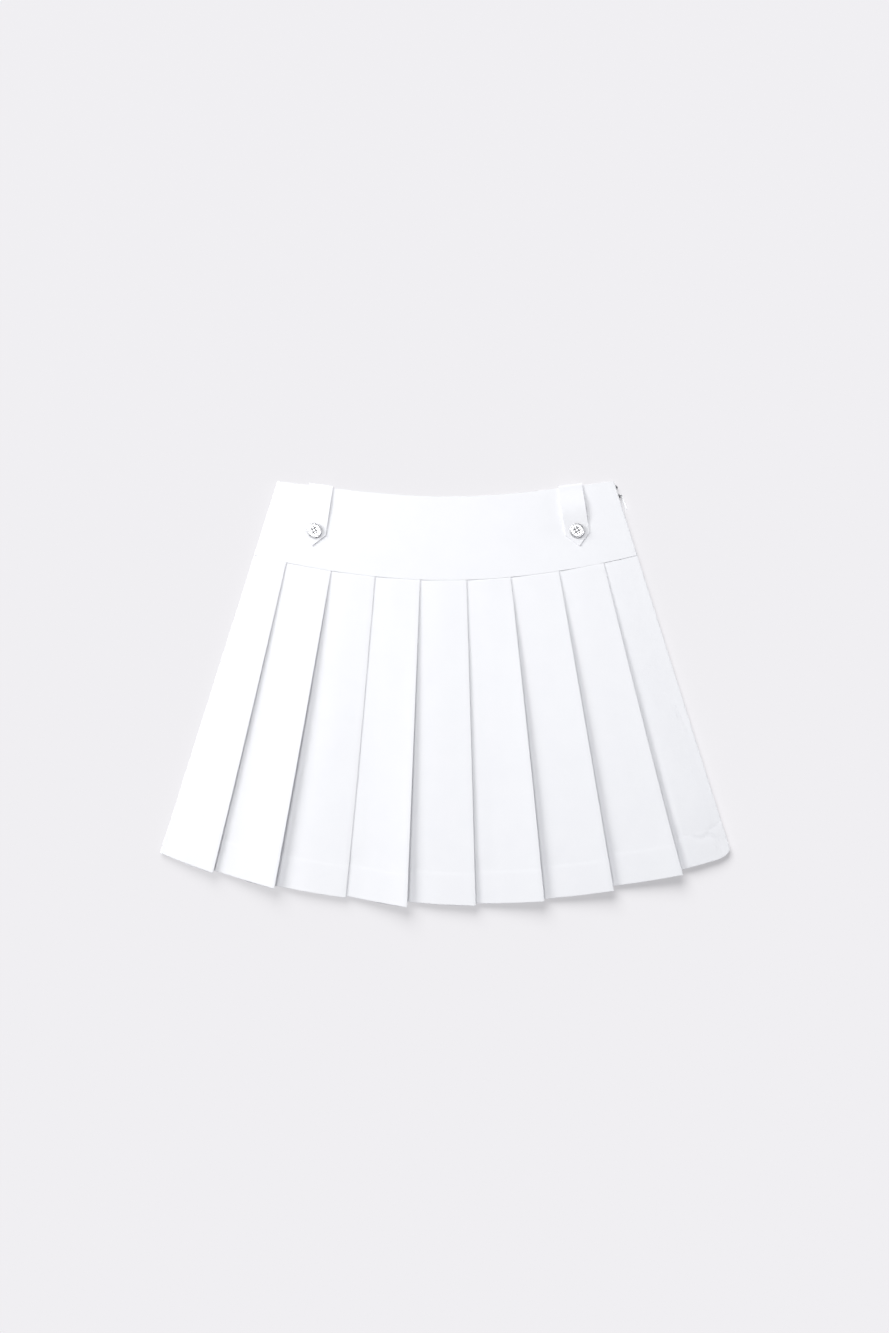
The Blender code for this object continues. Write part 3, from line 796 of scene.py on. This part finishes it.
tab = {
    "wall": 0.0011,
    "angle": 13.0,              # where it crosses the waist edge
    "lean": 8.7,
    "width": 0.0235,
    "length": 0.059,
    "point": 0.012,
    "inside": 0.012,            # what is folded over behind the waist edge
    "standOff": 0.00248,        # from the middle of the yoke's CAD wall to the tab's outer face
    "yokeHalf": 0.0010,
    "bow": {"left": 0.0005, "right": 0.0023},
    "buttonAt": 0.0435,
    "rim": 0.00012,
    "acrossSteps": 14,
    "acrossEnd": 0.975,         # stations beside an edge, which its rounded rim needs
    "downSteps": 40,
    "downEnds": (0.02, 0.995),
    "roundSteps": 10,
    "insideSteps": 6,
}


def tabPoint(side, across, down, lift):
    # a place over the tab's stretch of the yoke, lifted off the middle of the yoke's wall
    sign = -1 if side == "left" else 1
    angle = sign * tab["angle"] + math.degrees(across / waistRadius(tab["angle"]))
    edge = fanPoint(waistRadius(angle), angle, 0.0)
    lean = math.radians(sign * tab["lean"])
    x, y = edge.x + down * math.sin(lean), edge.y - down * math.cos(lean)
    radius = math.hypot(x - fan["x"], fan["y"] - y)
    here = math.degrees(math.atan2(x - fan["x"], fan["y"] - y))
    share = min(max((radius - waistRadius(here)) / fan["yokeDepth"], 0.0), 1.0)
    return Vector((x, y, yokeFace(here, share) - tab["yokeHalf"] + lift))


def makeTab(side):
    away = tab["standOff"] - tab["wall"] / 2
    path = [(tab["inside"] * share, -away) for share in spread(1.0, 0.0, tab["insideSteps"])]
    for turn in spread(0.0, math.pi, tab["roundSteps"])[1:-1]:
        path.append((-away * math.sin(turn), -away * math.cos(turn)))
    downShares = [0.0] + spread(*tab["downEnds"], tab["downSteps"]) + [1.0]
    widthShares = [-1.0] + spread(-tab["acrossEnd"], tab["acrossEnd"], tab["acrossSteps"]) + [1.0]
    overEdge = math.pi * away

    def place(column, row):
        widthShare = widthShares[column]
        across = widthShare * tab["width"] / 2
        if row < len(path):
            down, lift = path[row]
            onCut = row / len(path) * (tab["inside"] + overEdge)
        else:
            length = tab["length"] - tab["point"] * abs(widthShare)
            down = length * downShares[row - len(path)]
            bow = tab["bow"][side] * math.sin(math.pi * min(down / tab["buttonAt"], 1.0)) ** 2
            lift = away + bow
            onCut = tab["inside"] + overEdge + down
        return tabPoint(side, across, down, lift), (across, -onCut)

    cloth = clothGrid(len(widthShares), len(path) + len(downShares), place)
    piece = addPiece(side + "Tab", cloth, cottonTwill, "tab_" + side)
    solidify(piece, tab["wall"])
    roundRim(piece, tab["rim"])
    return piece


tabs = {side: makeTab(side) for side in ("left", "right")}
print("tabs made")


button = {
    "faceRadius": 0.0058,
    "faceHeight": 0.00335,
    "faceSteps": 46,
    # (radius, height) from the face over the ring round it, down the side and in to the shank
    "rim": (
        (0.00590, 0.00322), (0.00600, 0.00318), (0.00612, 0.00322), (0.00624, 0.00340),
        (0.00640, 0.00352), (0.00660, 0.00354), (0.00682, 0.00346), (0.00700, 0.00328),
        (0.00712, 0.00300), (0.00718, 0.00262), (0.00716, 0.00215), (0.00706, 0.00185),
        (0.00680, 0.00168), (0.00560, 0.00155), (0.00400, 0.00150), (0.00175, 0.00145),
        (0.00165, 0.00120), (0.00160, 0.0), (0.0, 0.0),
    ),
    "sides": 112,
    "plaitRadius": 0.0041,
    "plaitEdge": 0.0004,
    "strand": 0.00290,          # width of one strand of the plaited relief
    "strandCurve": 2.8,         # how flat a strand is across
    "arch": 0.35,               # and how far it dips where it goes under
    "relief": 0.00028,
    "turn": 30.0,
    "grooveRadius": 0.0062,     # a dark groove lies inside the ring
    "faceFrom": 0.0031,         # lowest height of face and groove
    "sideFrom": 0.00265,        # the side below this height gets painted shade, dark and dull
    # how dark the groove, the relief's recesses and the side are made; on the side it is painted shade
    "recessAndSideShade": {"groove": 0.75, "side": 0.7, "relief": 1.6, "curve": 1.5},
    "underside": 0.00150,
    "offTab": 0.0013,           # the disc stands off the tab by this, on its shank
    "weld": 0.000002,           # vertices nearer to each other than this become one
}
silver = {
    "light": (0.80, 0.80, 0.81),
    # the dark of the recesses, also used as painted shade on the button's lower side
    "recessAndSideShade": (0.035, 0.035, 0.04),
    "rough": (0.28, 0.40),
    "recessRough": 0.35,    # what a recess adds to it
    "grain": 900.0,
}


def buttonMaterial():
    # worn silver, dark and dull in the recesses of the relief and in the groove, and with painted shade,
    # dark and dull, on the lower side
    material, tree, shader = newMaterial("silverMetal", silver["light"], silver["rough"][0], 1.0)
    low = tree.nodes.new("ShaderNodeAttribute")
    low.attribute_name = "recessAndSideShade"
    # the mask darkens the recesses and paints shade on the lower side
    blendColours(tree, shader.inputs["Base Color"], low.outputs["Fac"], silver["light"], silver["recessAndSideShade"])
    rough = rangeNode(tree, addWear(tree, silver["grain"])["Shade"], *silver["rough"])
    dull = mathNode(tree, "MULTIPLY_ADD", low.outputs["Fac"], silver["recessRough"], rough)
    tree.links.new(dull, shader.inputs["Roughness"])
    return material


silverMetal = buttonMaterial()


def plaitHeight(x, y):
    # strands that pass over and under each other, flat on top with narrow grooves between them
    turn = math.radians(button["turn"])
    u = (x * math.cos(turn) + y * math.sin(turn)) / button["strand"] + 0.5
    v = (y * math.cos(turn) - x * math.sin(turn)) / button["strand"] + 0.5
    over = (math.floor(u) + math.floor(v)) % 2 == 0
    across, along = (v % 1.0, u % 1.0) if over else (u % 1.0, v % 1.0)
    strand = 1 - abs(2 * across - 1) ** button["strandCurve"]
    arch = 1 - button["arch"] * abs(2 * along - 1) ** 3
    return strand * arch


def spinProfile(shape, points, sides, closed=False):
    # a solid of revolution about Z from (radius, height) points
    verts = [shape.verts.new((radius, 0.0, height)) for radius, height in points]
    ends = verts[1:] + verts[:1] if closed else verts[1:]
    edges = [shape.edges.new(pair) for pair in zip(verts, ends)]
    bmesh.ops.spin(shape, geom=verts + edges, cent=(0, 0, 0), axis=(0, 0, 1), dvec=(0, 0, 0),
                   angle=math.tau, steps=sides, use_merge=True)


def makeButton(side):
    turned = bmesh.new()
    shares = spread(0, 1, button["faceSteps"])
    face = [(button["faceRadius"] * share, button["faceHeight"]) for share in shares]
    spinProfile(turned, face + list(button["rim"]), button["sides"])
    bmesh.ops.remove_doubles(turned, verts=turned.verts, dist=button["weld"])
    bmesh.ops.recalc_face_normals(turned, faces=turned.faces)
    # a mask for the dark recesses and for painted shade on the lower side
    recessAndSideShade = turned.verts.layers.float.new("recessAndSideShade")
    dark = button["recessAndSideShade"]
    for vert in turned.verts:
        radius = math.hypot(vert.co.x, vert.co.y)
        if vert.co.z > button["faceFrom"] and radius < button["faceRadius"] + button["weld"]:
            inside = smoothStep((button["plaitRadius"] - radius) / button["plaitEdge"])
            relief = mix(1.0, plaitHeight(vert.co.x, vert.co.y), inside)
            vert.co.z += button["relief"] * (relief - 1)
            vert[recessAndSideShade] = min(1.0, dark["relief"] * (1 - relief) ** dark["curve"])
        elif vert.co.z > button["faceFrom"] and radius < button["grooveRadius"]:
            vert[recessAndSideShade] = dark["groove"]
        elif vert.co.z < button["sideFrom"]:
            # painted shade on the lower side, where the shadow round the button falls
            vert[recessAndSideShade] = dark["side"]
    for polygon in turned.faces:
        polygon.smooth = True
    seat = tabPoint(side, 0.0, tab["buttonAt"], tab["standOff"] + button["offTab"] - button["underside"])
    bmesh.ops.translate(turned, vec=seat, verts=turned.verts)
    return addPiece(side + "Button", turned, silverMetal, "button_" + side)


buttons = {side: makeButton(side) for side in ("left", "right")}
print("buttons made")


# the side closure's own frame stands at the right waist corner: +X out from the side edge, +Y up along it
corner = (Matrix.Translation(fanPoint(waistRadius(fan["halfAngle"]), fan["halfAngle"], fan["sideSeam"]))
          @ Matrix.Rotation(math.radians(fan["halfAngle"]), 4, "Z"))

darkMetal = wornMaterial("darkMetal", {
    "light": (0.16, 0.16, 0.17), "dark": (0.10, 0.10, 0.11), "rough": (0.30, 0.46), "metallic": 1.0,
    "grain": 1400.0, "relief": 0.00001, "bump": 0.6,
})
whiteLacquer = wornMaterial("whiteLacquer", {
    "light": (0.935, 0.935, 0.94), "dark": (0.895, 0.895, 0.905), "rough": (0.24, 0.36), "metallic": 0.0,
    "grain": 700.0, "relief": 0.00001, "bump": 0.6,
}, Coat_Weight=0.3)
nylon = wornMaterial("zipNylon", {
    "light": (0.90, 0.90, 0.91), "dark": (0.85, 0.85, 0.865), "rough": (0.34, 0.46), "metallic": 0.0,
    "grain": 1800.0, "relief": 0.00001, "bump": 0.6,
})
zipTape = clothMaterial("zipTape", {**cotton, "thread": 0.0009, "relief": 0.00012})


def makeTube(path, radius, sides=8, weld=0.02):
    # a wire along a path: a grid wrapped round it, joined along its length and closed at its ends
    tangents = []
    for index in range(len(path)):
        tangents.append((path[min(index + 1, len(path) - 1)] - path[max(index - 1, 0)]).normalized())
    side = tangents[0].orthogonal().normalized()
    frames = []
    for tangent in tangents:
        side = (side - tangent * side.dot(tangent)).normalized()
        frames.append((side.copy(), tangent.cross(side)))

    def place(column, row):
        turn = math.tau * column / sides
        first, second = frames[row]
        return path[row] + (first * math.cos(turn) + second * math.sin(turn)) * radius, (0.0, 0.0)

    wire = clothGrid(sides + 1, len(path), place)
    bmesh.ops.remove_doubles(wire, verts=wire.verts, dist=radius * weld)
    bmesh.ops.holes_fill(wire, edges=[edge for edge in wire.edges if edge.is_boundary], sides=sides)
    bmesh.ops.recalc_face_normals(wire, faces=wire.faces)
    return wire


def addBlock(shape, centre, size):
    bmesh.ops.create_cube(shape, size=1.0, matrix=Matrix.Translation(centre) @ Matrix.Diagonal((*size, 1.0)))


slider = {
    "at": -0.01556,                     # along the side edge, from the waist
    "plate": (0.0006, 0.0042, 0.0040),  # its face: out, along and up
    "plateOut": 0.0006,                 # its inner side stands this far out
    "neck": (0.0052, 0.0030, 0.0008),
    "lug": (0.0021, 0.0010, 0.0006),    # the two that hold the pin
    "sink": 0.0001,                     # a part reaches into the one that carries it
    "pinOut": 0.00265,
    "pinRadius": 0.00045,
    "pinSides": 20,
    "rim": 0.00016,
}
pull = {
    "ringHole": 0.00085,
    "ringRadius": 0.00140,
    "ringHeight": 0.0022,
    "ringSides": 28,
    "ringRim": 0.00018,
    "start": 0.8,           # the leaf starts inside the ring's wall, at this share of its radius
    "length": 0.0154,
    "width": 0.0032,
    "neck": 0.0022,
    "neckShare": 0.55,      # it widens over this share of its length
    "tipFrom": 0.86,        # it is rounded from this share on
    "tipWidth": 0.0004,
    "steps": (8, 30),
    "wall": 0.0007,
    "rim": 0.0003,
    "lean": 2.4,            # out from the side edge, in degrees
    "twist": 50.0,          # it hangs on edge, turned a little to show its face
}


def makeSlider():
    shape = bmesh.new()
    at, sink = slider["at"], slider["sink"]
    plate, neck, lug = slider["plate"], slider["neck"], slider["lug"]
    inner = slider["plateOut"]
    addBlock(shape, (inner + plate[0] / 2, at, 0), plate)
    addBlock(shape, (inner - neck[0] / 2 + sink, at, 0), neck)
    for sign in (-1, 1):
        height = sign * (pull["ringHeight"] / 2 + sink + lug[2] / 2)
        addBlock(shape, (inner + plate[0] + lug[0] / 2 - sink, at, height), lug)
    bmesh.ops.create_cone(shape, cap_ends=True, segments=slider["pinSides"], radius1=slider["pinRadius"],
                          radius2=slider["pinRadius"], depth=pull["ringHeight"] + 2 * lug[2],
                          matrix=Matrix.Translation((slider["pinOut"], at, 0)))
    bmesh.ops.transform(shape, matrix=corner, verts=shape.verts)
    roundRim(addPiece("zipSlider", shape, darkMetal, "zip_slider"), slider["rim"], 2)


def makePull():
    # a lacquered leaf that hangs from a ring round the slider's pin
    start, end = pull["ringRadius"] * pull["start"], pull["length"]
    across, down = pull["steps"]

    def place(column, row):
        along = row / down
        half = mix(pull["neck"], pull["width"], smoothStep(along / pull["neckShare"])) / 2
        past = max(0.0, (along - pull["tipFrom"]) / (1 - pull["tipFrom"]))
        half = max(half * math.sqrt(max(0.0, 1 - past ** 2)), pull["tipWidth"] / 2)
        sideways = (column / across * 2 - 1) * half
        return Vector((sideways, -mix(start, end, along), 0.0)), (sideways, along)

    leaf = addPiece("zipPull", clothGrid(across + 1, down + 1, place), whiteLacquer,
                    "zip_pull", body="pull")
    atPin = corner @ Matrix.Translation((slider["pinOut"], slider["at"], 0))
    leaf.data.transform(atPin @ Matrix.Rotation(math.radians(pull["lean"]), 4, "Z")
                        @ Matrix.Rotation(-math.radians(90 - pull["twist"]), 4, "Y"))
    solidify(leaf, pull["wall"])
    roundRim(leaf, pull["rim"])
    turned = bmesh.new()
    half = pull["ringHeight"] / 2
    section = [(pull["ringHole"], -half), (pull["ringHole"], half), (pull["ringRadius"], half),
               (pull["ringRadius"], -half)]
    spinProfile(turned, section, pull["ringSides"], closed=True)
    bmesh.ops.recalc_face_normals(turned, faces=turned.faces)
    bmesh.ops.transform(turned, matrix=atPin, verts=turned.verts)
    ring = addPiece("zipPullRing", turned, whiteLacquer, "zip_pull", body="pull")
    roundRim(ring, pull["ringRim"], 2)


zipper = {
    "top": 0.0186,          # down the side edge
    "end": 0.150,
    "width": 0.0114,
    "inset": 0.0006,
    "wall": 0.0006,
    "steps": (6, 40),
    "coilRadius": 0.00048,
    "coilInset": 0.0008,
    "coilTall": 1.1,        # the coil is a little higher than wide
    "wire": 0.00022,
    "wireSides": 6,
    "pitch": 0.0011,
    "turnSteps": 10,
}


def makeZip():
    top, end = -zipper["top"], -zipper["end"]
    across, down = zipper["steps"]

    def place(column, row):
        inward = -zipper["inset"] - zipper["width"] * (1 - column / across)
        along = mix(end, top, row / down)
        return corner @ Vector((inward, along, 0.0)), (inward, along)

    tape = clothGrid(across + 1, down + 1, place, faceUp=False)
    solidify(addPiece("zipTape", tape, zipTape, "zip_tape"), zipper["wall"])
    steps = round((top - end) / zipper["pitch"]) * zipper["turnSteps"]
    path = []
    for step in range(steps + 1):
        turn = math.tau * step / zipper["turnSteps"]
        out = -zipper["coilInset"] + zipper["coilRadius"] * math.cos(turn)
        up = zipper["coilRadius"] * zipper["coilTall"] * math.sin(turn)
        path.append(corner @ Vector((out, mix(end, top, step / steps), up)))
    coil = makeTube(path, zipper["wire"], zipper["wireSides"])
    addPiece("zipCoil", coil, nylon, "zip_tape")


# both lie beside the same place on the side edge; the hook's points are (out, up) in the corner's frame
hookAndEye = {
    "at": -0.0066,
    "hookWidth": 0.0018,
    "hookWall": 0.00045,
    "hookRim": 0.00012,
    "hookPlate": ((-0.0046, 0.00052), (-0.0030, 0.00055), (-0.0012, 0.00060), (0.0004, 0.00062)),
    "bendAt": 0.0010,
    "bend": 0.0006,
    "bendTurn": (90, -110),
    "bendSteps": 8,
    "hookSteps": 4,
    "hookTip": (-0.0014, -0.0007),
    "narrow": 0.75,         # width of the bent end against the plate
    "narrowAfter": 2,       # points of the bend that are still as wide as the plate
    "eyeSpan": 0.0046,
    "eyeWire": 0.00035,
    "eyeFoot": (-0.0044, -0.0010),
    "eyeAt": -0.0008,
    "eyeOut": 0.0020,
    "footSteps": 6,
    "eyeSteps": 18,
}


def makeHookAndEye():
    pair = hookAndEye
    at, half = pair["at"], pair["eyeSpan"] / 2
    bend = list(pair["hookPlate"])
    for turn in spread(*pair["bendTurn"], pair["bendSteps"]):
        angle = math.radians(turn)
        bend.append((pair["bendAt"] + pair["bend"] * math.cos(angle), pair["bend"] * math.sin(angle)))
    bend.append(pair["hookTip"])
    across = pair["hookSteps"]
    wideRows = len(pair["hookPlate"]) + pair["narrowAfter"]

    def place(column, row):
        out, up = bend[row]
        width = pair["hookWidth"] * (1.0 if row < wideRows else pair["narrow"])
        return corner @ Vector((out, at + (column / across - 0.5) * width, up)), (0.0, 0.0)

    hook = addPiece("hook", clothGrid(across + 1, len(bend), place), darkMetal, "hook")
    solidify(hook, pair["hookWall"])
    roundRim(hook, pair["hookRim"], 2)
    foot = spread(*pair["eyeFoot"], pair["footSteps"])
    path = [(out, -half) for out in foot]
    for angle in spread(0.0, math.pi, pair["eyeSteps"]):
        path.append((pair["eyeAt"] + pair["eyeOut"] * math.sin(angle), -half * math.cos(angle)))
    path += [(out, half) for out in foot[::-1]]
    wire = [corner @ Vector((out, at + along, 0.0)) for out, along in path]
    addPiece("eye", makeTube(wire, pair["eyeWire"]), darkMetal, "eye")


makeSlider()
makePull()
makeZip()
makeHookAndEye()
print("side closure made")


studio = {
    # the backdrop glows with painted light, more on the left, where its own colour is darker so that it
    # looks even, so that no shadow on it is deep
    "floorColour": (1.0, 0.983, 1.0),
    "floorRough": 0.95,
    "glowColour": (0.992, 0.981, 1.010),
    "left": {"at": -0.27, "floor": 0.140, "glow": 0.664},
    "right": {"at": 0.25, "floor": 0.330, "glow": 0.402},
    "floorSize": 8.0,
    "floorBelow": 0.0002,
    "world": 0.28,
    "worldColour": (0.91, 0.935, 1.0),
    # a sun lights the floor alone, for the soft shadow below the hem
    "backdrop": {"power": 5.62, "from": (-0.28, 0.70, 0.62), "angle": 42.0},
    # three lamps light the skirt: one on the left for the shadows beside the folds, one high above and a
    # low weak one on the right for its edge
    "key": {"power": 28.0, "from": (-1.56, 0.84, 1.17), "size": 1.08},
    "over": {"power": 110.0, "from": (-0.74, 1.50, 4.30), "size": 1.8},
    "edge": {"power": 28.0, "from": (3.00, -0.20, 0.20), "size": 1.2},
}


def addLight(name, kind, receivers):
    values = studio[name]
    data = bpy.data.lights.new(name, kind)
    data.energy = values["power"]
    lamp = bpy.data.objects.new(name, data)
    lightFrom = Vector(values["from"])
    lamp.rotation_euler = lightFrom.to_track_quat("Z", "Y").to_euler()
    if kind == "AREA":
        lamp.location = lightFrom
        data.shape = "DISK"
        data.size = values["size"]
    else:
        data.angle = math.radians(values["angle"])
    bpy.context.scene.collection.objects.link(lamp)
    lamp.light_linking.receiver_collection = receivers
    return lamp


def paperMaterial():
    paper, tree, shader = newMaterial("palePaper", studio["floorColour"], studio["floorRough"])
    place = tree.nodes.new("ShaderNodeTexCoord")
    parts = tree.nodes.new("ShaderNodeSeparateXYZ")
    tree.links.new(place.outputs["Object"], parts.inputs[0])
    share = rangeNode(tree, parts.outputs["X"], studio["left"]["at"], studio["right"]["at"], "From")
    for level, socket in (("floor", "Base Color"), ("glow", "Emission Color")):
        colour = Vector(studio[level + "Colour"])
        left, right = (colour * studio[side][level] for side in ("left", "right"))
        blendColours(tree, shader.inputs[socket], share, left, right)
    # the floor's glow is painted light, not a lamp
    shader.inputs["Emission Strength"].default_value = 1.0
    return paper


def newCollection(name, pieces):
    collection = bpy.data.collections.new(name)
    for piece in pieces:
        collection.objects.link(piece)
    return collection


def makeStudio():
    pieces = [piece for piece in bpy.context.scene.objects if piece.type == "MESH"]
    shape = bmesh.new()
    bmesh.ops.create_grid(shape, x_segments=1, y_segments=1, size=studio["floorSize"] / 2)
    bmesh.ops.translate(shape, vec=(0, 0, -studio["floorBelow"]), verts=shape.verts)
    mesh = bpy.data.meshes.new("floor")
    shape.to_mesh(mesh)
    shape.free()
    mesh.materials.append(paperMaterial())
    floor = bpy.data.objects.new("floor", mesh)
    bpy.context.scene.collection.objects.link(floor)
    litSkirt = newCollection("litSkirt", pieces)
    litFront = newCollection("litFront", [piece for piece in pieces if piece not in (backPleats, backYoke)])
    # the pull stands on edge, and its long shadow is kept off the floor
    shading = [piece for piece in pieces if not piece.name.startswith("zipPull")]
    backdrop = addLight("backdrop", "SUN", newCollection("litFloor", [floor]))
    backdrop.light_linking.blocker_collection = newCollection("shadesFloor", shading)
    addLight("key", "AREA", litFront)
    addLight("over", "AREA", litSkirt)
    addLight("edge", "AREA", litSkirt)
    world = bpy.data.worlds.new("studio")
    world.use_nodes = True
    background = world.node_tree.nodes["Background"]
    background.inputs["Color"].default_value = (*studio["worldColour"], 1.0)
    background.inputs["Strength"].default_value = studio["world"]
    bpy.context.scene.world = world
    bpy.context.scene.view_settings.view_transform = "Standard"


makeStudio()
print("studio made")
